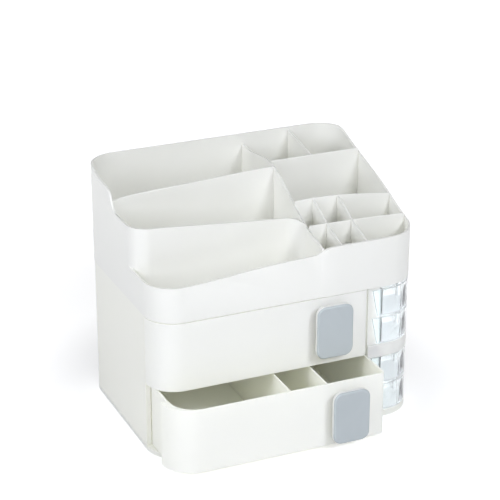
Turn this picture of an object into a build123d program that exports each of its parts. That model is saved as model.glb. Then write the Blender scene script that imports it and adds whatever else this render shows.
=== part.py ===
from build123d import *
import os

os.makedirs("parts", exist_ok=True)

# Frame: X to the right, Y to the back, Z up, origin under the middle of the closed cabinet
# Cabinet
cab_w = 278.0          # across the side walls
cab_d = 196.0          # drawer fronts to back wall
seam_z = 143.6         # top of the cabinet, where the tray sits
wall_t = 2.4           # cabinet walls
r_front_left = 30.0    # front left corner, carried by the drawer fronts
r_front_right = 34.0   # front right corner, round the swing boxes
r_back = 32.0          # back corners
base_t = 4.6           # base plate
base_round = 1.0       # rounded lower edge of the base plate
seat_h = 2.2           # raised seat under the swing boxes
flange_w = 3.0         # inward return at the front end of the left wall
shelf_z = 71.2         # underside of the shelf between the drawers
shelf_t = 1.8
seam_gap = 0.5         # open seams round the drawer fronts
run_gap = 0.4          # running gap under a drawer
side_gap = 0.6         # running gap beside a drawer

# Swing-box bay at the right front corner
swing_flat = 8.0       # straight front of a swing box before its quarter round
post_gap = 0.6         # between the post and the swing boxes
post_w = 13.0
post_set = 2.4         # the post stands this far behind the fronts
bay_extra = 8.0        # the bay is deeper than the quarter round by this
bay_wall_t = 2.0
band_z = 67.5          # underside of the band between the two pairs of swing boxes
band_h = 13.6

# Swing boxes
swing_inset = 0.2      # outer face inside the cabinet outline
swing_wall = 1.3
foot_gap = 0.6         # under each pair
low_gap = 2.5          # between the boxes of the lower pair
high_gap = 1.8         # between the boxes of the upper pair
low_head = 0.7         # over the lower pair
high_head = 3.6        # over the upper pair
barrel_r = 4.0
barrel_gap = 1.0       # between the pivot barrel and the wall behind it
pin_r = 1.5
pin_gap = 0.05
flap_top_w = 9.5       # finger flap at the left front, wider at the top
flap_foot_w = 3.8
flap_t = 1.4

# Drawers
drawer_wall = 2.0
drawer_floor_t = 1.8
drawer_end_gap = 2.6   # behind a closed drawer
column_gap = 0.6       # between a drawer and the column wall
drawer_inner_r = 25.0  # inside the wrapped corner
drawer_edge_r = 5.0    # right front edge
drawer_back_r = 23.0   # left back corner
divider_t = 1.6
right_cell_w = 58.0    # clear width of the right compartment
mid_cell_w = 37.0      # clear width of the middle compartment
rim_drop = 1.2         # sides stand this much lower than the front
front_lap = 0.4        # the lower front covers the edge of the shelf by this
lower_open = 39.5      # the lower drawer is stored pulled out by this much

# Handles
handle_w = 38.2
handle_h = 54.6
handle_r = 8.8
handle_inset = 41.0    # handle centre from the right end of the drawer
upper_rise = 2.6       # handle centre above the middle of the upper drawer front
lower_drop = 1.2       # and below the middle of the lower one
stem_w = 20.0
stem_h = 34.0
stem_r = 5.0
stem_l = 6.5
knob_t = 3.6
pad_t = 2.2
pad_bevel = 1.3

# Tray, heights measured from the seam
tray_over = 0.4        # stands out over the cabinet all round
tray_h = 102.8
tray_wall = 2.2
tray_floor_t = 2.4
draft = 0.3            # degrees, the outer wall opens upwards
rim_tier = 96.0        # left rim at the back tier
rim_step = 76.4        # left rim at the middle tier
rim_front = 35.4       # left end of the front rim
rim_block = 51.0       # front rim of the grid block
block_proud = 0.8      # the front of the grid block stands out
block_blend = 4.5      # and slopes back to the wall over this width at its ends
block_edge = 2.0       # its left end lies left of the grid side wall
partition_t = 2.0
cell_t = 1.6
tier_y = 18.0          # partition between the back and the middle tier
fall_y = 15.0          # the left rim falls from the back to the middle tier here
step_y = -46.0         # front wall of the middle tier
step_r = 19.0          # its rounded left corner
step_blend = 15.0      # its blend into the grid side wall
step_over = 0.6        # its corner meets the leaning outer wall this far out
grid_x = 33.5          # wall between the tiers and the lipstick grid
brush_y = 40.0         # wall in front of the brush cells
brush_x = 85.0         # divider between the brush cells
brush_h = 91.4
cross_front_y = -62.7
cross_rear_y = -30.0
lip_left_w = 18.0      # clear width of the left lipstick cells
lip_mid_w = 25.2       # clear width of the middle lipstick cells
slot_h = 30.0          # the dividers are slotted over the front cross wall up to here

half = cab_w / 2
front = -cab_d / 2
back = cab_d / 2
left_end = front + r_front_left
swing_x0 = half - r_front_right - swing_flat
post_x = swing_x0 - post_gap
column_x = post_x - post_w
post_y = front + post_set
bay_y = front + r_front_right + bay_extra
seat_z = base_t + seat_h
pivot_x = half - swing_inset - barrel_r
pivot_y = bay_y - barrel_gap - barrel_r
tray_z0 = seam_z + tray_floor_t
sky = seam_z + 2 * tray_h


def outline(inset):
    """Plan outline of the cabinet, moved inwards by inset (negative moves it outwards)."""
    x = half - inset
    y0 = front + inset
    y1 = back - inset
    a = r_front_left - inset
    b = r_front_right - inset
    c = r_back - inset
    return make_face([
        Line((a - x, y0), (x - b, y0)),
        CenterArc((x - b, y0 + b), b, -90, 90),
        Line((x, y0 + b), (x, y1 - c)),
        CenterArc((x - c, y1 - c), c, 0, 90),
        Line((x - c, y1), (c - x, y1)),
        CenterArc((c - x, y1 - c), c, 90, 90),
        Line((-x, y1 - c), (-x, y0 + a)),
        CenterArc((a - x, y0 + a), a, 180, 90),
    ])


def slab(face, z0, z1):
    """Upright prism on a plan face."""
    return extrude(Pos(0, 0, z0) * face, amount=z1 - z0, dir=(0, 0, 1))


def block(x0, x1, y0, y1, z0, z1):
    """Axis-aligned box between two corners."""
    return Pos((x0 + x1) / 2, (y0 + y1) / 2, (z0 + z1) / 2) * Box(x1 - x0, y1 - y0, z1 - z0)


def region(lead, curve, tail, level):
    """Face under a line through lead, along a smooth curve and through tail, down to the ground."""
    lead, curve, tail = [[(u, seam_z + h) for u, h in run] for run in (lead, curve, tail)]
    first = (lead + curve)[0]
    last = (curve + tail)[-1]
    rest = Polyline(curve[-1], *tail, (last[0], 0), (first[0], 0), *lead, curve[0])
    along = (curve[-1][0] - curve[0][0], 0)
    top = Spline(*curve, tangents=(along, along)) if level else Spline(*curve)
    return make_face([top, *rest.edges()])


def under_x(curve, y0, y1, lead=(), tail=(), level=False):
    """Prism along Y under a line of (x, height above the seam) points, level at its ends if asked."""
    return Pos(0, y1, 0) * extrude(Plane.XZ * region(lead, curve, tail, level), amount=y1 - y0)


def under_y(curve, x0, x1, lead=(), tail=(), level=False):
    """Prism along X under a line of (y, height above the seam) points, level at its ends if asked."""
    return Pos(x0, 0, 0) * extrude(Plane.YZ * region(lead, curve, tail, level), amount=x1 - x0)


# Base plate with the raised seat under the swing boxes
seat = slab(outline(0), base_t, seat_z) & block(post_x, half, front, bay_y, 0, seam_z)
base_plate = slab(outline(0), 0, base_t) + seat
base_plate = fillet(base_plate.faces().sort_by(Axis.Z)[0].outer_wire().edges(), base_round)

# Left, back and right walls of the cabinet
shell = slab(outline(0), base_t, seam_z) - slab(outline(wall_t), 0, sky)
shell -= block(-half, column_x, front, left_end, 0, sky)
shell -= block(column_x, half, front, bay_y, 0, sky)
cabinet_shell = shell + block(
    wall_t - half, wall_t + flange_w - half, left_end, left_end + wall_t, base_t, seam_z)

# Column wall and its post, between the drawers and the swing boxes
column_wall = block(column_x, column_x + wall_t, post_y, back - wall_t, base_t, seam_z)
column_wall += block(column_x, post_x, post_y, post_y + wall_t, base_t, seam_z)

# Shelf between the two drawers
drawer_shelf = slab(outline(wall_t), shelf_z, shelf_z + shelf_t)
drawer_shelf &= block(-half, column_x, left_end + wall_t, back, 0, seam_z)

# Wall behind the swing boxes
bay_wall = block(column_x + wall_t, half - wall_t, bay_y, bay_y + bay_wall_t, base_t, seam_z)

# Quarter-round band between the two pairs of swing boxes
band = slab(outline(0), band_z, band_z + band_h) & block(column_x, half, front, bay_y, 0, seam_z)
band -= block(column_x, column_x + wall_t, post_y, bay_y, 0, seam_z)
corner_band = band - block(column_x, post_x, post_y, post_y + wall_t, 0, seam_z)


def pivot_pin(z0, z1):
    """Upright pin that a pair of swing boxes turns on."""
    return Pos(pivot_x, pivot_y, (z0 + z1) / 2) * Cylinder(pin_r, z1 - z0)


def swing_plan(inset):
    """Plan of a swing box, quarter-round at the right front."""
    x0 = swing_x0 + inset
    x1 = half - swing_inset - inset
    y0 = front + swing_inset + inset
    y1 = pivot_y + barrel_r - inset
    r = r_front_right - swing_inset - inset
    return make_face([
        Line((x0, y0), (x1 - r, y0)),
        CenterArc((x1 - r, y0 + r), r, -90, 90),
        Line((x1, y0 + r), (x1, y1)),
        Line((x1, y1), (x0, y1)),
        Line((x0, y1), (x0, y0)),
    ])


def swing_box(z0, z1):
    """Open clear box with a finger flap at its left front and a bore for the pivot pin."""
    mid = Pos(pivot_x, pivot_y, (z0 + z1) / 2)
    y0 = front + swing_inset
    body = slab(swing_plan(0), z0, z1)
    body -= block(pivot_x, half, pivot_y, bay_y, z0, z1)
    body -= slab(swing_plan(swing_wall), z0 + swing_wall, z1)
    body += mid * Cylinder(barrel_r, z1 - z0)
    flap = Polyline(
        (swing_x0 + swing_wall, z0), (swing_x0 + swing_wall, z1), (swing_x0 - flap_top_w, z1),
        (swing_x0 - flap_foot_w, z0), close=True)
    body += Pos(0, y0 + flap_t, 0) * extrude(Plane.XZ * make_face(flap), amount=flap_t)
    return body - mid * Cylinder(pin_r + pin_gap, z1 - z0)


band_top = band_z + band_h
low_h = (band_z - seat_z - foot_gap - low_gap - low_head) / 2
high_h = (seam_z - band_top - foot_gap - high_gap - high_head) / 2
bottom_z = seat_z + foot_gap
low_z = bottom_z + low_h + low_gap
high_z = band_top + foot_gap
top_z = high_z + high_h + high_gap

# Drawers
drawer_x0 = wall_t + flange_w + side_gap - half
drawer_x1 = column_x - column_gap
drawer_back = back - wall_t - drawer_end_gap
cell_x1 = drawer_x1 - drawer_wall
divider_right = cell_x1 - right_cell_w - divider_t / 2
divider_left = divider_right - divider_t - mid_cell_w
lower_z0 = base_t + run_gap
lower_z1 = shelf_z + front_lap
upper_z0 = lower_z1 + seam_gap
upper_z1 = seam_z - seam_gap
upper_floor = shelf_z + shelf_t + run_gap


def drawer_box(z0, z1, z_floor, y_shift):
    """Drawer whose front wraps round the left corner; the sides run inside the cabinet."""
    wrap_end = left_end - seam_gap
    x0 = drawer_x0 + drawer_wall
    y0 = front + drawer_wall
    y1 = drawer_back - drawer_wall
    edge = drawer_edge_r
    inner_edge = edge - drawer_wall
    corner = drawer_back_r
    inner_corner = corner - drawer_wall
    wrap = make_face([
        Line((r_front_left - half, front), (drawer_x1 - edge, front)),
        CenterArc((drawer_x1 - edge, front + edge), edge, -90, 90),
        Line((drawer_x1, front + edge), (drawer_x1, left_end)),
        Line((drawer_x1, left_end), (-half, left_end)),
        CenterArc((r_front_left - half, left_end), r_front_left, 180, 90),
    ])
    sides = make_face([
        Line((drawer_x0, front + r_front_left / 2), (drawer_x1, front + r_front_left / 2)),
        Line((drawer_x1, front + r_front_left / 2), (drawer_x1, drawer_back)),
        Line((drawer_x1, drawer_back), (drawer_x0 + corner, drawer_back)),
        CenterArc((drawer_x0 + corner, drawer_back - corner), corner, 90, 90),
        Line((drawer_x0, drawer_back - corner), (drawer_x0, front + r_front_left / 2)),
    ])
    hollow = make_face([
        Line((x0 + drawer_inner_r, y0), (cell_x1 - inner_edge, y0)),
        CenterArc((cell_x1 - inner_edge, y0 + inner_edge), inner_edge, -90, 90),
        Line((cell_x1, y0 + inner_edge), (cell_x1, y1)),
        Line((cell_x1, y1), (x0 + inner_corner, y1)),
        CenterArc((x0 + inner_corner, y1 - inner_corner), inner_corner, 90, 90),
        Line((x0, y1 - inner_corner), (x0, y0 + drawer_inner_r)),
        CenterArc((x0 + drawer_inner_r, y0 + drawer_inner_r), drawer_inner_r, 180, 90),
    ])
    body = slab(wrap, z0, z1) & block(-half, half, front, wrap_end, 0, seam_z)
    body += slab(sides, z_floor, z1 - rim_drop) & block(-half, half, left_end - 5, back, 0, seam_z)
    body -= slab(hollow, z_floor + drawer_floor_t, sky)
    return Pos(0, y_shift, 0) * body


def drawer_divider(x, z1, z_floor, y_shift):
    """Front-to-back divider standing on the drawer floor."""
    return block(
        x - divider_t / 2, x + divider_t / 2, front + drawer_wall + y_shift,
        drawer_back - drawer_wall + y_shift, z_floor + drawer_floor_t, z1 - rim_drop)


def handle_plate(w, h, r, y0, y1, z):
    """Upright rounded plate between two depths, centred on the handle."""
    plate = extrude(Plane.XZ * RectangleRounded(w, h, r), amount=y1 - y0)
    return Pos(drawer_x1 - handle_inset, y1, z) * plate


def handle_knob(z, y):
    """White knob: a stem on the drawer front and the plate that carries the pad."""
    stem = handle_plate(stem_w, stem_h, stem_r, y - stem_l, y, z)
    return stem + handle_plate(handle_w, handle_h, handle_r, y - stem_l - knob_t, y - stem_l, z)


def handle_pad(z, y):
    """Grey pad on the knob, with a bevelled rim."""
    y1 = y - stem_l - knob_t
    pad = handle_plate(handle_w, handle_h, handle_r, y1 - pad_t, y1, z)
    return chamfer(pad.faces().sort_by(Axis.Y)[0].outer_wire().edges(), pad_bevel)


lower_front = front - lower_open
lower_handle_z = (lower_z0 + lower_z1) / 2 - lower_drop
upper_handle_z = (upper_z0 + upper_z1) / 2 + upper_rise


def leaning(face):
    """Prism of the tray's height that opens upwards by the draft."""
    return extrude(Pos(0, 0, seam_z) * face, amount=tray_h, dir=(0, 0, 1), taper=-draft)


# Tray floor and outer wall with its falling rim
reach = 20.0
tray_outer = leaning(outline(-tray_over))
tray_room = leaning(outline(tray_wall - tray_over))
tray_floor = tray_room & block(-cab_w, cab_w, -cab_d, cab_d, 0, tray_z0)
block_x = grid_x - block_edge
block_x1 = half - r_front_right
block_y = front - tray_over
proud = make_face(Polyline(
    (block_x, block_y), (block_x + block_blend, block_y - block_proud),
    (block_x1 - block_blend, block_y - block_proud), (block_x1, block_y), close=True))
ring = tray_outer - tray_room + (leaning(proud) - tray_outer)

fall = rim_tier - rim_step
step_end = step_y + step_r
left_curve = [
    (fall_y + 60, tray_h), (fall_y + 50, tray_h - 2.2), (fall_y + 42, rim_tier + 2.2),
    (fall_y + 31, rim_tier + 0.6), (fall_y + 18, rim_tier), (fall_y + 9, rim_tier - 1.4),
    (fall_y + 3.5, rim_tier - 0.24 * fall), (fall_y, rim_tier - 0.5 * fall),
    (fall_y - 3, rim_tier - 0.76 * fall), (fall_y - 8, rim_step + 0.07 * fall), (fall_y - 16, rim_step)]
right_curve = [
    (back - 12, tray_h), (72, 97.8), (50, 89.8), (30, 84.0), (0, 75.6), (-20, 69.2), (-37, 62.8),
    (-52, 57.2), (-66, 53.2), (-77, 51.6), (front + 12, rim_block)]
left_x = reach - half
front_curve = [
    (left_x, rim_front), (-103, rim_front + 0.5), (-67, 38.6), (-42, 41.1), (-17, 42.9), (7, 44.0),
    (block_x - 9, 44.6), (block_x - 4, 45.4), (block_x + 1, 47.8), (block_x + 6, 49.8),
    (block_x + 14, 50.8), (block_x + 27, rim_block), (block_x1, rim_block)]
rim_left = under_y(
    left_curve, -half - reach, left_x, lead=[(back + reach, 2 * tray_h), (fall_y + 60, 2 * tray_h)],
    tail=[(step_end, rim_step), (step_end, rim_front), (front - reach, rim_front)], level=True)
rim_right = under_y(
    right_curve, block_x1, half + reach, lead=[(back + reach, 2 * tray_h), (back - 12, 2 * tray_h)],
    tail=[(front - reach, rim_block)], level=True)
rim_mid = under_x(front_curve, front - reach, front + reach, level=True)
keep = rim_left + rim_mid + rim_right + block(left_x, block_x1, front + reach, back + reach, 0, sky)
tray_rim_wall = ring & keep

# Walls that stand on the tray floor
inside = tray_room - block(-cab_w, cab_w, -cab_d, cab_d, 0, tray_z0)
tier_curve = [
    (-half - reach, 81.4), (-half + 1, 83.6), (-half + 9, 85.7), (-half + 19, 87.1), (-68, 89.8),
    (7, 93.6), (grid_x, 94.6)]
tier_partition = inside & under_x(tier_curve, tier_y - partition_t / 2, tier_y + partition_t / 2)
tier_partition &= block(-cab_w, grid_x - partition_t / 2, -cab_d, cab_d, 0, sky)

grid_curve = [
    (front - reach, 46.5), (-77, 53.8), (-60, 58.2), (-18, 77.4), (10, 91.0), (21, 94.6),
    (brush_y, 95.4), (back + reach, 101.8)]
grid_side_wall = inside & under_y(grid_curve, grid_x - partition_t / 2, grid_x + partition_t / 2)

# Front wall of the middle tier: round at the left, blended into the grid side wall at the right
step_x0 = -half - tray_over - step_over
step_x1 = grid_x - partition_t / 2
step_cx = step_x0 + step_r
step_plan = make_face([
    CenterArc((step_cx, step_end), step_r, 180, 90),
    Line((step_cx, step_y), (step_x1 - step_blend, step_y)),
    CenterArc((step_x1 - step_blend, step_y - step_blend), step_blend, 90, -90),
    Line((step_x1, step_y - step_blend), (step_x1, step_y + partition_t)),
    Line((step_x1, step_y + partition_t), (step_cx, step_y + partition_t)),
    CenterArc((step_cx, step_end), step_r - partition_t, 270, -90),
    Line((step_x0 + partition_t, step_end), (step_x0, step_end)),
])
step_curve = [
    (-half - reach, rim_step), (-half + 21, rim_step - 0.2), (-95, 74.5), (-30, 68.5), (-2, 66.3),
    (17, 64.6), (26, 63.2), (step_x1, 60.6)]
step_wall = slab(step_plan, tray_z0, sky) & under_x(step_curve, -cab_d, cab_d) & tray_outer
tier_front_wall = step_wall - tray_rim_wall

grid_x1 = grid_x + partition_t / 2
brush_wall = inside & block(
    grid_x1, cab_w, brush_y - cell_t / 2, brush_y + cell_t / 2, 0, seam_z + brush_h)
brush_curve = [(brush_y + cell_t / 2, brush_h), (70, brush_h + 4.4), (back + reach, 103.4)]
brush_divider = inside & under_y(brush_curve, brush_x - cell_t / 2, brush_x + cell_t / 2)

lip_left = grid_x1 + lip_left_w + cell_t / 2
lip_right = lip_left + cell_t + lip_mid_w
slot_z = tray_z0 + slot_h
cross_front_curve = [(grid_x1, 60.4), (90, 59.4), (half + reach, 56.4)]
cross_rear_curve = [(grid_x1, 73.8), (72, 74.2), (110, 70.6), (half + reach, 64.4)]
cross_front = inside & under_x(
    cross_front_curve, cross_front_y - cell_t / 2, cross_front_y + cell_t / 2)
cross_rear = inside & under_x(cross_rear_curve, cross_rear_y - cell_t / 2, cross_rear_y + cell_t / 2)
lip_curve = [
    (front - reach, 46.0), (-80, 54.8), (-63, 60.6), (-43, 69.6), (cross_rear_y - cell_t / 2, 73.2)]


def lip_divider(x):
    """Front-to-back divider of the lipstick grid, slotted over the front cross wall."""
    plate = inside & under_y(lip_curve, x - cell_t / 2, x + cell_t / 2)
    return plate - block(
        x - cell_t, x + cell_t, cross_front_y - cell_t / 2, cross_front_y + cell_t / 2, 0, slot_z)


for x in (lip_left, lip_right):
    cross_front -= block(
        x - cell_t / 2, x + cell_t / 2, cross_front_y - cell_t, cross_front_y + cell_t, slot_z, sky)

nodes = {
    "base_plate": base_plate,
    "cabinet_shell": cabinet_shell,
    "column_wall": column_wall,
    "drawer_shelf": drawer_shelf,
    "bay_wall": bay_wall,
    "corner_band": corner_band,
    "pivot_pin_lower": pivot_pin(seat_z, band_z),
    "pivot_pin_upper": pivot_pin(band_top, seam_z),
    "tray_floor": tray_floor,
    "tray_rim_wall": tray_rim_wall,
    "tier_partition": tier_partition,
    "tier_front_wall": tier_front_wall,
    "grid_side_wall": grid_side_wall,
    "brush_wall": brush_wall,
    "brush_divider": brush_divider,
    "lipstick_cross_front": cross_front,
    "lipstick_cross_rear": cross_rear,
    "lipstick_divider_left": lip_divider(lip_left),
    "lipstick_divider_right": lip_divider(lip_right),
    "upper_drawer_box": drawer_box(upper_z0, upper_z1, upper_floor, 0),
    "upper_divider_left": drawer_divider(divider_left, upper_z1, upper_floor, 0),
    "upper_divider_right": drawer_divider(divider_right, upper_z1, upper_floor, 0),
    "upper_handle_knob": handle_knob(upper_handle_z, front),
    "upper_handle_pad": handle_pad(upper_handle_z, front),
    "lower_drawer_box": drawer_box(lower_z0, lower_z1, lower_z0, -lower_open),
    "lower_divider_left": drawer_divider(divider_left, lower_z1, lower_z0, -lower_open),
    "lower_divider_right": drawer_divider(divider_right, lower_z1, lower_z0, -lower_open),
    "lower_handle_knob": handle_knob(lower_handle_z, lower_front),
    "lower_handle_pad": handle_pad(lower_handle_z, lower_front),
    "swing_box_bottom": swing_box(bottom_z, bottom_z + low_h),
    "swing_box_low": swing_box(low_z, low_z + low_h),
    "swing_box_high": swing_box(high_z, high_z + high_h),
    "swing_box_top": swing_box(top_z, top_z + high_h),
}
for name, solid in nodes.items():
    export_step(solid, f"parts/{name}.step")
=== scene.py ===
"""Looks of a desk organizer for make-up: white cabinet and tray, two drawers and four clear swing boxes."""

import logging
import math
from dataclasses import KW_ONLY, dataclass
from enum import Enum, IntEnum
from typing import ClassVar

import bmesh
import bpy
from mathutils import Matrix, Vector


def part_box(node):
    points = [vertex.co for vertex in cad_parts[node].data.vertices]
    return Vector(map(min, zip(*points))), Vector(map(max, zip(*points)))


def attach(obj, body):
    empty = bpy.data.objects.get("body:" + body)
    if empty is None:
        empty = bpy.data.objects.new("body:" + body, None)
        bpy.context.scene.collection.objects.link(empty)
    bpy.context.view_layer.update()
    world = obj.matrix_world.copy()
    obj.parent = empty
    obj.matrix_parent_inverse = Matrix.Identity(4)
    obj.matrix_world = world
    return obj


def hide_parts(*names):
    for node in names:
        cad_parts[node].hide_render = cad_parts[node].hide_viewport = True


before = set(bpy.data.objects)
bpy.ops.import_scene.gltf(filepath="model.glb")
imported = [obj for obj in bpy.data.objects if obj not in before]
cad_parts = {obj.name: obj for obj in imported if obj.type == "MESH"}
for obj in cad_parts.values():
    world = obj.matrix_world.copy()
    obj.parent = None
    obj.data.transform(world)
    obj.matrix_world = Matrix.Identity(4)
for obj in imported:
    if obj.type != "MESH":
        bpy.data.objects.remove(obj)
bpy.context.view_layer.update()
LOG = logging.getLogger("organizer")
MM = 0.001
CABINET = "cabinet"
Triple = tuple[float, float, float]
Colour = Triple
WHITE: Colour = (1.0, 1.0, 1.0)


class Slot(Enum):
    """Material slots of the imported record."""

    WHITE = "white"
    PAD = "grey_pad"
    CLEAR = "clear"
    PIN = "pin"


class BoxFace(IntEnum):
    """Material indices on a clear box."""

    CLEAR = 0
    FROSTED = 1
    # Flap faces, with painted shade in their haze.
    FLAP_PAINTED_SHADE = 2
    # Faces of the edge rounding, with a painted dark reflection in their haze.
    EDGE = 3


def rgba(colour: Colour) -> tuple[float, float, float, float]:
    """Return a linear colour with full alpha."""
    return (*colour, 1.0)


def place(name: str, data: bpy.types.ID) -> bpy.types.Object:
    """Put some data into the scene as an object at the origin.

    Args:
        name: Name of the object.
        data: Mesh, curve, light or camera.

    Returns:
        The new object.
    """
    thing = bpy.data.objects.new(name, data)
    bpy.context.scene.collection.objects.link(thing)
    return thing


class Wiring:
    """Short hand for placing and joining the nodes of one tree."""

    def __init__(self, tree: bpy.types.NodeTree) -> None:
        """Keep the tree to fill."""
        self.tree = tree

    @property
    def shader(self) -> bpy.types.Node:
        """Principled shader that a new material has."""
        return self.tree.nodes["Principled BSDF"]

    def give(self, target: bpy.types.NodeSocket, value: object) -> None:
        """Link an input, or set its value.

        Args:
            target: Input of a node.
            value: Socket to link, or a plain value.
        """
        if isinstance(value, bpy.types.NodeSocket):
            self.tree.links.new(value, target)
        else:
            target.default_value = value

    def fill(self, node: bpy.types.Node, inputs: dict[str, object]) -> None:
        """Fill inputs of a node by name.

        Args:
            node: Node that takes the values.
            inputs: Sockets to link or values to set, by the input's name.
        """
        for name, value in inputs.items():
            self.give(node.inputs[name], value)

    def feed(self, node: bpy.types.Node, *terms: object) -> bpy.types.Node:
        """Fill the first inputs of a node in order.

        Args:
            node: Node that takes the terms.
            terms: Sockets to link or values to set.

        Returns:
            The same node.
        """
        for target, term in zip(node.inputs, terms):
            self.give(target, term)
        return node

    def add(self, kind: str, inputs: dict[str, object] | None = None, **properties: object) -> bpy.types.Node:
        """Add a node.

        Args:
            kind: Blender's node type.
            inputs: Sockets to link or values to set, by the input's name.
            properties: Properties of the node by name, set before its inputs.

        Returns:
            The new node.
        """
        node = self.tree.nodes.new(kind)
        for name, value in properties.items():
            setattr(node, name, value)
        self.fill(node, inputs or {})
        return node

    def math(self, operation: str, *terms: object) -> bpy.types.NodeSocket:
        """Return the result of a new Math node on sockets or numbers."""
        return self.feed(self.add("ShaderNodeMath", operation=operation), *terms).outputs[0]

    def vector(self, operation: str, *terms: object) -> bpy.types.NodeSocket:
        """Return the vector that a new Vector Math node gives."""
        return self.feed(self.add("ShaderNodeVectorMath", operation=operation), *terms).outputs["Vector"]

    def measure(self, operation: str, *terms: object) -> bpy.types.NodeSocket:
        """Return the number that a new Vector Math node gives."""
        return self.feed(self.add("ShaderNodeVectorMath", operation=operation), *terms).outputs["Value"]

    def scaled(self, vector: bpy.types.NodeSocket, factor: bpy.types.NodeSocket) -> bpy.types.NodeSocket:
        """Return a vector times a number."""
        node = self.add("ShaderNodeVectorMath", {"Vector": vector, "Scale": factor}, operation="SCALE")
        return node.outputs["Vector"]

    def ranged(
            self, value: bpy.types.NodeSocket, low: float, high: float,
            span: tuple[float, float] = (0.0, 1.0)) -> bpy.types.NodeSocket:
        """Add a Map Range node.

        Args:
            value: Socket to map.
            low: Result at the span's start.
            high: Result at the span's end.
            span: Start and end of the value.

        Returns:
            The node's result.
        """
        node = self.add("ShaderNodeMapRange", {
            "Value": value, "From Min": span[0], "From Max": span[1], "To Min": low, "To Max": high})
        return node.outputs["Result"]

    def ramp(
            self, value: bpy.types.NodeSocket, stops: list[tuple[float, Colour]],
            interpolation: str = "LINEAR") -> bpy.types.NodeSocket:
        """Add a Color Ramp node.

        Args:
            value: Socket that runs along the ramp.
            stops: Place and colour of each stop, in order.
            interpolation: How the colours pass into each other.

        Returns:
            The node's colour.
        """
        node = self.add("ShaderNodeValToRGB", {"Fac": value})
        elements = node.color_ramp.elements
        node.color_ramp.interpolation = interpolation
        while len(elements) < len(stops):
            elements.new(0.5)
        for element, (spot, colour) in zip(elements, stops):
            element.position = spot
            element.color = rgba(colour)
        return node.outputs["Color"]

    def blend(self, share: object, first: bpy.types.Node, second: bpy.types.Node) -> None:
        """Send a mix of two shaders to the material's output.

        Args:
            share: Socket or number, how much of the second shader shows.
            first: Shader that shows at zero.
            second: Shader that shows at one.
        """
        mix = self.feed(self.add("ShaderNodeMixShader"), share, first.outputs[0], second.outputs[0])
        self.fill(self.tree.nodes["Material Output"], {"Surface": mix.outputs[0]})


@dataclass(frozen=True)
class MouldedSkin:
    """Shader group: the skin that a polished and grained mould leaves on plastic."""

    name: str = "moulded_skin"
    grain: float = 1400.0
    grain_detail: float = 2.0
    flow: float = 22.0
    flow_detail: float = 3.0
    flow_swirl: float = 0.6
    pit_pitch: float = 0.55
    pit_slope: float = 4.0
    height_shares: Triple = (0.35, 0.65, 0.8)
    gloss_shares: tuple[float, float] = (0.3, 0.7)

    def group(self) -> bpy.types.NodeTree:
        """Return the group, built on first use.

        Returns:
            Group with the inputs Grain, Flow and Seed, and the outputs Height, Bloom and Gloss.
        """
        if self.name in bpy.data.node_groups:
            return bpy.data.node_groups[self.name]
        tree = bpy.data.node_groups.new(self.name, "ShaderNodeTree")
        for label, value in (("Grain", self.grain), ("Flow", self.flow), ("Seed", 0.0)):
            socket = tree.interface.new_socket(label, in_out="INPUT", socket_type="NodeSocketFloat")
            socket.default_value = value
        for label in ("Height", "Bloom", "Gloss"):
            tree.interface.new_socket(label, in_out="OUTPUT", socket_type="NodeSocketFloat")
        w = Wiring(tree)
        given = w.add("NodeGroupInput").outputs
        spot = w.vector("ADD", w.add("ShaderNodeTexCoord").outputs["Object"], given["Seed"])
        grain = w.add("ShaderNodeTexNoise", {
            "Vector": spot, "Scale": given["Grain"], "Detail": self.grain_detail}).outputs["Fac"]
        flow = w.add("ShaderNodeTexNoise", {
            "Vector": spot, "Scale": given["Flow"], "Detail": self.flow_detail,
            "Distortion": self.flow_swirl}).outputs["Fac"]
        pitch = w.math("MULTIPLY", given["Grain"], self.pit_pitch)
        specks = w.add("ShaderNodeTexVoronoi", {"Vector": spot, "Scale": pitch}, feature="DISTANCE_TO_EDGE")
        pits = w.math("MINIMUM", w.math("MULTIPLY", specks.outputs["Distance"], self.pit_slope), 1.0)
        pit_share, grain_share, flow_share = self.height_shares
        fine = w.math("MULTIPLY_ADD", pits, pit_share, w.math("MULTIPLY", grain, grain_share))
        dull_grain, dull_flow = self.gloss_shares
        w.add("NodeGroupOutput", {
            "Height": w.math("MULTIPLY_ADD", flow, flow_share, fine),
            "Bloom": flow,
            "Gloss": w.math("MULTIPLY_ADD", flow, dull_flow, w.math("MULTIPLY", grain, dull_grain))})
        return tree


def blank(name: str) -> tuple[bpy.types.Material, Wiring]:
    """Start a node material.

    Args:
        name: Name of the material.

    Returns:
        The material and its wiring.
    """
    material = bpy.data.materials.new(name)
    material.use_nodes = True
    return material, Wiring(material.node_tree)


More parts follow.
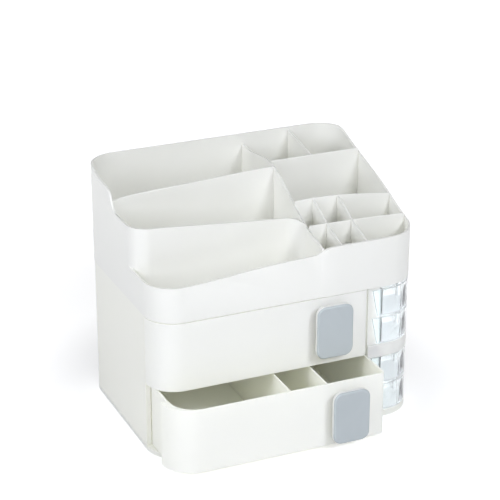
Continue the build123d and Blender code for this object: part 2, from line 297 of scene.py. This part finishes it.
@dataclass(frozen=True)
class Finish:
    """A moulded finish, which makes its Blender material on first use.

    Attributes:
        name: Name of the material.
        roughness: Roughness where the skin is smooth and where it is dull.
        grain: Scale of the skin's grain.
        relief: Height of the grain, zero on a polished face.
        bump: Strength of the relief.
        seed: Offset of the skin's pattern.
    """

    name: str
    roughness: tuple[float, float]
    _: KW_ONLY
    grain: float = 1500.0
    relief: float = 0.05 * MM
    bump: float = 0.25
    seed: float = 0.0

    GLOSS_SPAN: ClassVar[tuple[float, float]] = (0.3, 0.7)

    def material(self) -> bpy.types.Material:
        """Return the material, built on first use.

        Returns:
            Material with the finish's name.
        """
        if self.name in bpy.data.materials:
            return bpy.data.materials[self.name]
        material, w = blank(self.name)
        self.wire(w)
        return material

    def wire(self, w: Wiring) -> None:
        """Fill the nodes of the material, as each kind of finish does."""
        raise NotImplementedError

    def skin(self, w: Wiring) -> bpy.types.Node:
        """Lay the mould's skin on the shader's roughness and normal.

        Args:
            w: Wiring of the material.

        Returns:
            The group node, for its other outputs.
        """
        group = MouldedSkin().group()
        skin = w.add("ShaderNodeGroup", {"Grain": self.grain, "Seed": self.seed}, node_tree=group)
        gloss = w.ranged(skin.outputs["Gloss"], *self.roughness, span=self.GLOSS_SPAN)
        w.fill(w.shader, {"Roughness": gloss})
        if self.relief:
            bump = w.add("ShaderNodeBump", {
                "Strength": self.bump, "Distance": self.relief, "Height": skin.outputs["Height"]})
            w.fill(w.shader, {"Normal": bump.outputs["Normal"]})
        return skin


@dataclass(frozen=True)
class MouldedPlastic(Finish):
    """Moulded plastic with a fine grain, a slow change of gloss and a faint change of tint.

    Attributes:
        colour: Colour of most of the surface.
        bloom: Colour where the tint changes.
        specular: Specular level.
        milky: Share of the light that passes through the wall.
        passed: Tint of that light.
    """

    colour: Colour
    bloom: Colour
    _: KW_ONLY
    specular: float = 0.5
    milky: float = 0.0
    passed: Colour = (1.0, 1.0, 0.88)

    TINT_SPAN: ClassVar[tuple[float, float]] = (0.35, 0.65)

    def wire(self, w: Wiring) -> None:
        """Fill the nodes of the material.

        Args:
            w: Wiring of the material.
        """
        skin = self.skin(w)
        tint = w.ramp(skin.outputs["Bloom"], list(zip(self.TINT_SPAN, (self.bloom, self.colour))))
        w.fill(w.shader, {"Base Color": tint, "Specular IOR Level": self.specular})
        if self.milky:
            w.blend(self.milky, w.shader, w.add("ShaderNodeBsdfTranslucent", {"Color": rgba(self.passed)}))


@dataclass(frozen=True)
class ClearStyrene(Finish):
    """Clear moulded polystyrene, polished or frosted, that lets the light through to what it holds.

    Attributes:
        clarity: Share of the light that passes through.
        index: Index of refraction.
        haze: Tint of what is seen through it.
        cast: Tint of the light that falls through it.
    """

    _: KW_ONLY
    grain: float = 1800.0
    relief: float = 0.0
    bump: float = 0.4
    clarity: float = 0.94
    index: float = 1.57
    haze: Colour = (0.955, 0.972, 0.976)
    cast: Colour = (0.97, 0.98, 0.98)

    def wire(self, w: Wiring) -> None:
        """Fill the nodes of the material.

        Args:
            w: Wiring of the material.
        """
        self.skin(w)
        w.fill(w.shader, {
            "Base Color": rgba(self.haze), "Transmission Weight": self.clarity, "IOR": self.index})
        see = w.add("ShaderNodeBsdfTransparent", {"Color": rgba(self.cast)})
        w.blend(w.add("ShaderNodeLightPath").outputs["Is Shadow Ray"], w.shader, see)


MILKY_WHITE = MouldedPlastic(
    "milky_white", (0.33, 0.45), (0.972, 0.974, 0.972), (0.962, 0.964, 0.958), milky=0.27)
DRAWER_WHITE = MouldedPlastic(
    "drawer_white", (0.33, 0.45), (0.970, 0.972, 0.992), (0.960, 0.962, 0.980), seed=1.9, milky=0.28,
    passed=(1.0, 1.0, 0.84))
TRAY_WHITE = MouldedPlastic(
    "tray_white", (0.30, 0.42), (0.904, 0.904, 0.870), (0.894, 0.894, 0.856), seed=3.1, milky=0.08)
SHELL_WHITE = MouldedPlastic(
    "shell_white", (0.30, 0.42), (0.952, 0.952, 0.892), (0.942, 0.942, 0.878), seed=4.7, milky=0.10)
PAD_GREY = MouldedPlastic(
    "pad_grey", (0.42, 0.55), (0.490, 0.534, 0.548), (0.466, 0.510, 0.524), grain=1100.0, relief=0.08 * MM,
    seed=7.7, specular=0.35)
PIN_WHITE = MouldedPlastic(
    "pin_white", (0.25, 0.35), (0.80, 0.81, 0.79), (0.76, 0.77, 0.75), grain=2200.0, relief=0.03 * MM,
    seed=5.3)
CLEAR = ClearStyrene("clear_styrene", (0.01, 0.04))
FROSTED = ClearStyrene("frosted_styrene", (0.30, 0.42), clarity=0.45, relief=0.03 * MM)
# The flap is the same clear plastic as the box; its darker blue-grey haze is painted shade.
FLAP_PAINTED_SHADE = ClearStyrene("flap_painted_shade", (0.02, 0.06), haze=(0.67, 0.755, 0.775))
# The dark haze on the clear boxes' rounded edges is a painted dark reflection.
EDGE = ClearStyrene("edge_painted_reflection", (0.08, 0.14), haze=(0.16, 0.18, 0.19))


def settle(piece: bpy.types.Object, body: str, node: str) -> None:
    """Put a finished piece on its body and report it.

    Args:
        piece: Mesh object at the origin, with its place in its mesh.
        body: Moving body that carries it.
        node: Node that the piece is shown for.
    """
    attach(piece, body)
    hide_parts(node)
    LOG.info("%s rides on %s, %d faces", piece.name, body, len(piece.data.polygons))


@dataclass(frozen=True)
class SoftEdges:
    """Rounds the edges of a moulded piece, on a copy of its solid.

    Attributes:
        width: Width of the rounding.
        segments: Faces across the rounding.
        seam: How much lower the topmost faces are set, to open the seam above them.
    """

    width: float
    segments: int = 3
    seam: float = 0.0

    SHARP: ClassVar[float] = math.radians(32)
    FLAT: ClassVar[float] = math.radians(0.4)
    WELD: ClassVar[float] = 0.001 * MM
    TOPMOST: ClassVar[float] = 0.1 * MM
    MODIFIER: ClassVar[str] = "edge_rounding"

    def copy_of(self, node: str, finish: Finish) -> bpy.types.Object:
        """Make the rounded copy of one node.

        Args:
            node: Name of the node.
            finish: Finish of the whole piece.

        Returns:
            New object with a live Bevel modifier.
        """
        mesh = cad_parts[node].data.copy()
        mesh.name = f"{node}_moulded"
        self.clean(mesh)
        mesh.materials.clear()
        mesh.materials.append(finish.material())
        mesh.set_sharp_from_angle(angle=self.SHARP)
        piece = place(mesh.name, mesh)
        bevel = piece.modifiers.new(self.MODIFIER, "BEVEL")
        bevel.width = self.width
        bevel.segments = self.segments
        bevel.limit_method = "ANGLE"
        bevel.angle_limit = self.SHARP
        bevel.harden_normals = True
        bevel.use_clamp_overlap = True
        bevel.miter_outer = "MITER_ARC"
        return piece

    def clean(self, mesh: bpy.types.Mesh) -> None:
        """Join a solid's loose triangles into whole faces, and lower its top by the seam.

        Args:
            mesh: Copy of a node's mesh.
        """
        work = bmesh.new()
        work.from_mesh(mesh)
        bmesh.ops.remove_doubles(work, verts=work.verts, dist=self.WELD)
        top = max(vert.co.z for vert in work.verts)
        for vert in work.verts:
            if vert.co.z > top - self.TOPMOST:
                vert.co.z -= self.seam
        bmesh.ops.dissolve_limit(
            work, angle_limit=self.FLAT, verts=work.verts, edges=work.edges, use_dissolve_boundaries=False)
        for face in work.faces:
            face.smooth = True
        work.to_mesh(mesh)
        work.free()


def mould(
        body: str, nodes: tuple[str, ...], finish: Finish, edges: SoftEdges) -> None:
    """Make moulded pieces of one body that share a finish and a rounding.

    Args:
        body: Body that carries the pieces.
        nodes: Nodes that they are shown for.
        finish: Finish of the pieces.
        edges: Rounding of their edges.
    """
    for node in nodes:
        settle(edges.copy_of(node, finish), body, node)


@dataclass
class Cabinet:
    """Fixed cabinet: its walls, what stands between them, and the pins that the clear boxes turn on."""

    walls: SoftEdges = SoftEdges(0.5 * MM)
    pins: SoftEdges = SoftEdges(0.2 * MM, segments=2)

    def build(self) -> None:
        """Make the pieces and put them on the cabinet."""
        inside = ("base_plate", "column_wall", "drawer_shelf", "bay_wall", "corner_band")
        mould(CABINET, ("cabinet_shell",), SHELL_WHITE, self.walls)
        mould(CABINET, inside, MILKY_WHITE, self.walls)
        mould(CABINET, ("pivot_pin_lower", "pivot_pin_upper"), PIN_WHITE, self.pins)


@dataclass
class Tray:
    """Stepped tray on the cabinet, with its tiers, its brush cells and its lipstick grid."""

    rim: SoftEdges = SoftEdges(0.8 * MM)
    cells: SoftEdges = SoftEdges(0.55 * MM)

    def build(self) -> None:
        """Make the pieces and put them on the cabinet."""
        inner = (
            "tier_partition", "tier_front_wall", "grid_side_wall", "brush_wall", "brush_divider",
            "lipstick_cross_front", "lipstick_cross_rear", "lipstick_divider_left", "lipstick_divider_right")
        mould(CABINET, ("tray_floor", "tray_rim_wall"), TRAY_WHITE, self.rim)
        mould(CABINET, inner, TRAY_WHITE, self.cells)


@dataclass
class SwingBox:
    """Clear quarter-round box, frosted on its underside and rim, with painted shade on its flap and a painted
    dark reflection on its rounded edges.

    Attributes:
        level: Which of the four boxes it is.
        edges: Rounding of its edges.
        flap_reach: How far the finger flap, whose faces take the painted shade, reaches from the box's left
            end.
        rim_depth: How far below the top a face may lie and still belong to the rim.
        upright: Least upward or downward part of a level face's normal.
    """

    level: str
    edges: SoftEdges = SoftEdges(0.3 * MM, segments=2)
    flap_reach: float = 9.4 * MM
    rim_depth: float = 0.5 * MM
    upright: float = 0.9

    def build(self) -> None:
        """Make the box and put it on its body."""
        node = f"swing_box_{self.level}"
        piece = self.edges.copy_of(node, CLEAR)
        for finish in (FROSTED, FLAP_PAINTED_SHADE, EDGE):
            piece.data.materials.append(finish.material())
        # The rounding's faces take the painted dark reflection.
        piece.modifiers[self.edges.MODIFIER].material = BoxFace.EDGE
        low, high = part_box(node)
        for face in piece.data.polygons:
            face.material_index = self.kind(face, low, high)
        settle(piece, f"swing_{self.level}", node)

    def kind(self, face: bpy.types.MeshPolygon, low: Vector, high: Vector) -> BoxFace:
        """Choose the material of one face, the flap's faces taking the painted shade.

        Args:
            face: Face of the box.
            low: Lowest corner of the box.
            high: Highest corner of the box.

        Returns:
            Index of the face's material.
        """
        # Faces of the finger flap take the painted shade.
        if face.center.x < low.x + self.flap_reach:
            return BoxFace.FLAP_PAINTED_SHADE
        rim = face.normal.z > self.upright and face.center.z > high.z - self.rim_depth
        return BoxFace.FROSTED if rim or face.normal.z < -self.upright else BoxFace.CLEAR


@dataclass(frozen=True)
class PlateSection:
    """Section of a plate with rounded edges and a faint crown.

    Attributes:
        depth: Thickness of the plate at its rim.
        foot: Rounding of the back edge.
        edge: Rounding of the front edge.
        crown: How far the middle stands before the rim.
    """

    depth: float
    foot: float
    edge: float
    crown: float = 0.0

    STEPS: ClassVar[int] = 6
    INNER: ClassVar[float] = 0.9
    BACK_LAND: ClassVar[float] = 0.2 * MM
    FRONT_LAND: ClassVar[float] = 0.3 * MM
    LAND_RISE: ClassVar[float] = 0.06
    DRAWS: ClassVar[tuple[float, ...]] = (0.0, 0.35, 0.7, 1.0)

    def points(self, corner: float) -> list[Triple]:
        """List the points of the section, each an inset, a depth and a draw to the plate's middle.

        Args:
            corner: Corner radius of the outline, the most that a point may be inset.

        Returns:
            Points from the middle of the back to the middle of the front.
        """
        inner = self.INNER * corner
        points = [(inner, 0.0, 1.0), (inner, 0.0, 0.0), (self.foot + self.BACK_LAND, 0.0, 0.0)]
        turns = [0.5 * math.pi * step / self.STEPS for step in range(self.STEPS + 1)]
        for turn in turns:
            points.append((self.foot * (1.0 - math.sin(turn)), self.foot * (1.0 - math.cos(turn)), 0.0))
        for turn in turns:
            front = self.depth - self.edge * (1.0 - math.sin(turn))
            points.append((self.edge * (1.0 - math.cos(turn)), front, 0.0))
        points.append((self.edge + self.FRONT_LAND, self.depth + self.LAND_RISE * self.crown, 0.0))
        for draw in self.DRAWS:
            points.append((inner, self.depth + self.crown * (0.5 + 0.5 * draw), draw))
        return points


@dataclass
class RoundedPlate:
    """Upright plate with a rounded outline, its section swept round the outline by Geometry Nodes."""

    width: float
    height: float
    corner: float
    around: int = 136

    TREE: ClassVar[str] = "swept_plate"
    CORNER_STEPS: ClassVar[int] = 16
    WELD: ClassVar[float] = 0.002 * MM
    SOCKETS: ClassVar[dict[str, str]] = {
        "Section": "NodeSocketGeometry", "Width": "NodeSocketFloat", "Height": "NodeSocketFloat",
        "Corner": "NodeSocketFloat", "Around": "NodeSocketInt", "Middle": "NodeSocketVector",
        "Finish": "NodeSocketMaterial"}

    def tree(self) -> bpy.types.NodeTree:
        """Return the node tree, built on first use.

        The geometry that goes in is a section curve: x is the inset from the outline, y the depth towards the
        front, and z how far a point is drawn to the middle of the plate.

        Returns:
            Tree with the inputs Section, Width, Height, Corner, Around, Middle and Finish.
        """
        if self.TREE in bpy.data.node_groups:
            return bpy.data.node_groups[self.TREE]
        tree = bpy.data.node_groups.new(self.TREE, "GeometryNodeTree")
        for label, kind in self.SOCKETS.items():
            tree.interface.new_socket(label, in_out="INPUT", socket_type=kind)
        tree.interface.new_socket("Plate", in_out="OUTPUT", socket_type="NodeSocketGeometry")
        w = Wiring(tree)
        given = w.add("NodeGroupInput").outputs
        rows = w.add("GeometryNodeAttributeDomainSize", {"Geometry": given["Section"]}, component="CURVE")
        count = rows.outputs["Point Count"]
        columns = w.math("ADD", given["Around"], 1.0)
        sheet = w.add("GeometryNodeMeshGrid", {
            "Size X": 1.0, "Size Y": 1.0, "Vertices X": columns, "Vertices Y": count})
        shaped = w.add("GeometryNodeSetPosition", {
            "Geometry": sheet.outputs["Mesh"], "Position": self.swept(w, given, count)})
        closed = w.add("GeometryNodeMergeByDistance", {
            "Geometry": shaped.outputs["Geometry"], "Distance": self.WELD})
        smooth = w.add("GeometryNodeSetShadeSmooth", {"Geometry": closed.outputs["Geometry"]})
        real = w.add("GeometryNodeRealizeInstances", {"Geometry": smooth.outputs["Geometry"]})
        dress = w.add("GeometryNodeSetMaterial", {
            "Geometry": real.outputs["Geometry"], "Material": given["Finish"]})
        w.add("NodeGroupOutput", {"Plate": dress.outputs["Geometry"]})
        return tree

    def swept(
            self, w: Wiring, given: bpy.types.NodeOutputs,
            count: bpy.types.NodeSocket) -> bpy.types.NodeSocket:
        """Find where each point of the flat sheet goes on the plate.

        Args:
            w: Wiring of the tree.
            given: Outputs of its input node.
            count: Number of points of the section.

        Returns:
            Place of the point.
        """
        box = w.add("GeometryNodeCurvePrimitiveQuadrilateral", {
            "Width": given["Width"], "Height": given["Height"]})
        outline = w.add("GeometryNodeFilletCurve", {
            "Curve": box.outputs["Curve"], "Count": self.CORNER_STEPS, "Radius": given["Corner"]},
            mode="POLY")
        here = w.add("GeometryNodeInputPosition").outputs["Position"]
        spot = w.add("ShaderNodeSeparateXYZ", {"Vector": here}).outputs
        turn = w.math("ADD", spot["X"], 0.5)
        rim = w.add("GeometryNodeSampleCurve", {
            "Curves": outline.outputs["Curve"], "Factor": turn}, mode="FACTOR").outputs
        last = w.math("SUBTRACT", count, 1.0)
        row = w.math("ROUND", w.math("MULTIPLY", w.math("ADD", spot["Y"], 0.5), last))
        profile = w.add("GeometryNodeSampleIndex", {
            "Geometry": given["Section"], "Value": here, "Index": row},
            data_type="FLOAT_VECTOR", domain="POINT")
        part = w.add("ShaderNodeSeparateXYZ", {"Vector": profile.outputs["Value"]}).outputs

        side = w.vector("NORMALIZE", w.vector("CROSS_PRODUCT", rim["Tangent"], (0.0, 0.0, 1.0)))
        sign = w.math("SIGN", w.measure("DOT_PRODUCT", side, rim["Position"]))
        reach = w.scaled(side, w.math("MULTIPLY", sign, part["X"]))
        inset = w.vector("SUBTRACT", rim["Position"], reach)
        drawn = w.scaled(inset, w.math("SUBTRACT", 1.0, part["Z"]))
        flat = w.add("ShaderNodeSeparateXYZ", {"Vector": drawn}).outputs
        upright = w.add("ShaderNodeCombineXYZ", {
            "X": flat["X"], "Y": w.math("MULTIPLY", part["Y"], -1.0), "Z": flat["Y"]})
        return w.vector("ADD", upright.outputs["Vector"], given["Middle"])

    def mesh(self, name: str, section: PlateSection, middle: Vector, finish: Finish) -> bpy.types.Mesh:
        """Sweep a section round the outline.

        Args:
            name: Name of the mesh.
            section: Section of the plate.
            middle: Middle of the plate's back.
            finish: Finish of the plate.

        Returns:
            Closed mesh with its place in it and its faces outwards.
        """
        points = section.points(self.corner)
        curve = bpy.data.curves.new(name, "CURVE")
        curve.dimensions = "3D"
        spline = curve.splines.new("POLY")
        spline.points.add(len(points) - 1)
        for target, point in zip(spline.points, points):
            target.co = (*point, 1.0)
        maker = place(name, curve)
        tree = self.tree()
        modifier = maker.modifiers.new("plate", "NODES")
        modifier.node_group = tree
        values = {
            "Width": self.width, "Height": self.height, "Corner": self.corner, "Around": self.around,
            "Middle": tuple(middle), "Finish": finish.material()}
        for item in tree.interface.items_tree:
            if item.in_out == "INPUT" and item.name in values:
                modifier[item.identifier] = values[item.name]
        bpy.context.view_layer.update()
        evaluated = maker.evaluated_get(bpy.context.evaluated_depsgraph_get())
        mesh = bpy.data.meshes.new_from_object(evaluated)
        mesh.name = name
        bpy.data.objects.remove(maker)
        bpy.data.curves.remove(curve)
        work = bmesh.new()
        work.from_mesh(mesh)
        bmesh.ops.recalc_face_normals(work, faces=work.faces)
        work.to_mesh(mesh)
        work.free()
        return mesh


@dataclass
class Handle:
    """White knob on a stem and its grey pad, on the front of one drawer."""

    level: str
    plate_corner: float = 8.8 * MM
    stem_size: Triple = (20.0 * MM, 34.0 * MM, 5.0 * MM)
    stem_length: float = 6.5 * MM
    stem_lap: float = 0.2 * MM
    stem_foot: float = 0.2 * MM
    stem_edge: float = 0.1 * MM
    knob_foot: float = 0.7 * MM
    knob_edge: float = 0.3 * MM
    pad_foot: float = 0.15 * MM
    pad_edge: float = 1.9 * MM
    pad_crown: float = 0.15 * MM

    def build(self) -> None:
        """Make the knob and the pad and put them on the drawer."""
        knob_node, pad_node = f"{self.level}_handle_knob", f"{self.level}_handle_pad"
        knob_low, knob_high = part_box(knob_node)
        pad_low, pad_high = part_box(pad_node)
        middle = (knob_low + knob_high) / 2
        joint = knob_high.y - self.stem_length
        pad_depth = pad_high.y - pad_low.y - self.pad_crown
        plate = RoundedPlate(knob_high.x - knob_low.x, knob_high.z - knob_low.z, self.plate_corner)
        stem_mesh = RoundedPlate(*self.stem_size).mesh(
            "stem", PlateSection(self.stem_length + self.stem_lap, self.stem_foot, self.stem_edge),
            Vector((middle.x, knob_high.y, middle.z)), MILKY_WHITE)
        plate_mesh = plate.mesh(
            "plate", PlateSection(joint - knob_low.y, self.knob_foot, self.knob_edge),
            Vector((middle.x, joint, middle.z)), MILKY_WHITE)
        pad_mesh = plate.mesh(
            "pad", PlateSection(pad_depth, self.pad_foot, self.pad_edge, self.pad_crown),
            Vector((middle.x, pad_high.y, middle.z)), PAD_GREY)
        self.add("knob", (stem_mesh, plate_mesh), Slot.WHITE, knob_node)
        self.add("pad", (pad_mesh,), Slot.PAD, pad_node)

    def add(self, label: str, meshes: tuple[bpy.types.Mesh, ...], slot: Slot, node: str) -> None:
        """Join meshes into one piece and put it on the drawer.

        Args:
            label: What the piece is.
            meshes: Meshes of one finish.
            slot: Material slot of the record; not used.
            node: Node that the piece is shown for.
        """
        body = f"{self.level}_drawer"
        joined = meshes[0]
        work = bmesh.new()
        for mesh in meshes:
            work.from_mesh(mesh)
        work.to_mesh(joined)
        work.free()
        joined.name = f"{body}_{label}"
        settle(place(f"{body}_{label}", joined), body, node)


@dataclass
class Drawer:
    """Sliding drawer: a box with its front, two dividers and the handle."""

    level: str
    edges: SoftEdges = SoftEdges(0.7 * MM, seam=0.45 * MM)

    def build(self) -> None:
        """Make the pieces and put them on the drawer."""
        nodes = tuple(f"{self.level}_{piece}" for piece in ("drawer_box", "divider_left", "divider_right"))
        mould(f"{self.level}_drawer", nodes, DRAWER_WHITE, self.edges)
        Handle(self.level).build()


@dataclass(frozen=True)
class Softbox:
    """Square lamp: its name, its place, the length of its side and its power."""

    name: str
    spot: Triple
    size: float
    watts: float


@dataclass
class Studio:
    """Floor, backdrop light, lamps and the camera.

    Attributes:
        sky: Strength of the world's light on the object.
        paper_white: Grey level of the floor where it is looked at.
        paper_bounce: Grey level of the floor for the light that it throws back.
        glow: Distances from the middle of the floor, and how strongly it shines there where it is looked at.
    """

    target: Triple = (-0.00037, 0.0, 0.16018)
    distance: float = 1.83785
    azimuth: float = math.radians(-23.55)
    elevation: float = math.radians(23.19)
    lens: float = 133.19
    sensor: float = 36.0
    sky: float = 0.18
    floor_half: float = 6.0
    floor_drop: float = 0.1 * MM
    paper_roughness: float = 0.9
    paper_white: float = 0.95
    paper_bounce: float = 0.68
    glow: tuple[tuple[float, float], ...] = ((0.17, 0.38), (0.27, 0.58), (0.80, 0.92))
    lamp_tint: Colour = (0.970, 0.988, 1.050)
    lamps: tuple[Softbox, ...] = (
        Softbox("key", (0.62, -1.69, 1.42), 0.6, 19.2),
        Softbox("fill", (-0.45, -1.98, 0.95), 1.3, 13.2),
        Softbox("left", (-1.95, -0.38, 1.15), 1.2, 24.0))

    def build(self) -> None:
        """Make everything round the object."""
        self.world()
        self.floor()
        for softbox in self.lamps:
            self.lamp(softbox)
        self.camera()

    def seen(self, w: Wiring) -> bpy.types.NodeSocket:
        """Tell the rays that look at the background from those that carry light.

        Args:
            w: Wiring of the world or of a material.

        Returns:
            One for camera, glossy and transmission rays, zero for the others.
        """
        path = w.add("ShaderNodeLightPath").outputs
        direct = w.math("MAXIMUM", path["Is Camera Ray"], path["Is Glossy Ray"])
        return w.math("MAXIMUM", direct, path["Is Transmission Ray"])

    def world(self) -> None:
        """Even pale sky, white where the camera or clear plastic sees it."""
        world = bpy.data.worlds.new("pale_sky")
        world.use_nodes = True
        w = Wiring(world.node_tree)
        strength = w.ranged(self.seen(w), self.sky, 1.0)
        w.fill(world.node_tree.nodes["Background"], {"Color": rgba(WHITE), "Strength": strength})
        bpy.context.scene.world = world

    def floor(self) -> None:
        """Large matt white floor that looks white and still takes the shadow."""
        half, low = self.floor_half, -self.floor_drop
        mesh = bpy.data.meshes.new("floor")
        corners = [(-half, -half, low), (half, -half, low), (half, half, low), (-half, half, low)]
        mesh.from_pydata(corners, [], [(0, 1, 2, 3)])
        material, w = blank("white_paper")
        seen = self.seen(w)
        away = w.measure("LENGTH", w.add("ShaderNodeTexCoord").outputs["Object"])
        glow = w.ramp(away, [(reach, (level, level, level)) for reach, level in self.glow], "EASE")
        w.fill(w.shader, {
            "Base Color": w.ranged(seen, self.paper_bounce, self.paper_white),
            "Roughness": self.paper_roughness,
            "Specular IOR Level": 0.0,
            "Emission Color": rgba(WHITE),
            "Emission Strength": w.math("MULTIPLY", seen, glow)})
        mesh.materials.append(material)
        place("floor", mesh)

    def lamp(self, softbox: Softbox) -> None:
        """Add a lamp that faces the object.

        Args:
            softbox: What the lamp is and where it stands.
        """
        light = bpy.data.lights.new(softbox.name, "AREA")
        light.size = softbox.size
        light.energy = softbox.watts
        light.color = self.lamp_tint
        spot = Vector(softbox.spot)
        lamp = place(softbox.name, light)
        lamp.location = spot
        lamp.rotation_euler = (Vector(self.target) - spot).to_track_quat("-Z", "Y").to_euler()

    def camera(self) -> None:
        """Add the camera at the photographed angle."""
        flat = math.cos(self.elevation)
        back = Vector((
            math.sin(self.azimuth) * flat, -math.cos(self.azimuth) * flat, math.sin(self.elevation)))
        data = bpy.data.cameras.new("camera")
        data.lens = self.lens
        data.sensor_width = self.sensor
        camera = place("camera", data)
        camera.location = Vector(self.target) + self.distance * back
        camera.rotation_euler = (-back).to_track_quat("-Z", "Y").to_euler()
        bpy.context.scene.camera = camera


def main() -> None:
    """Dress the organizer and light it."""
    logging.basicConfig(level=logging.INFO, format="%(name)s: %(message)s")
    scene = bpy.context.scene
    scene.view_settings.view_transform = "Standard"
    scene.cycles.max_bounces = 32
    scene.cycles.diffuse_bounces = 18
    scene.cycles.transmission_bounces = 20
    drawers = [Drawer(level) for level in ("upper", "lower")]
    boxes = [SwingBox(level) for level in ("bottom", "low", "high", "top")]
    for assembly in (Cabinet(), Tray(), *drawers, *boxes, Studio()):
        assembly.build()


if __name__ == "__main__":
    main()
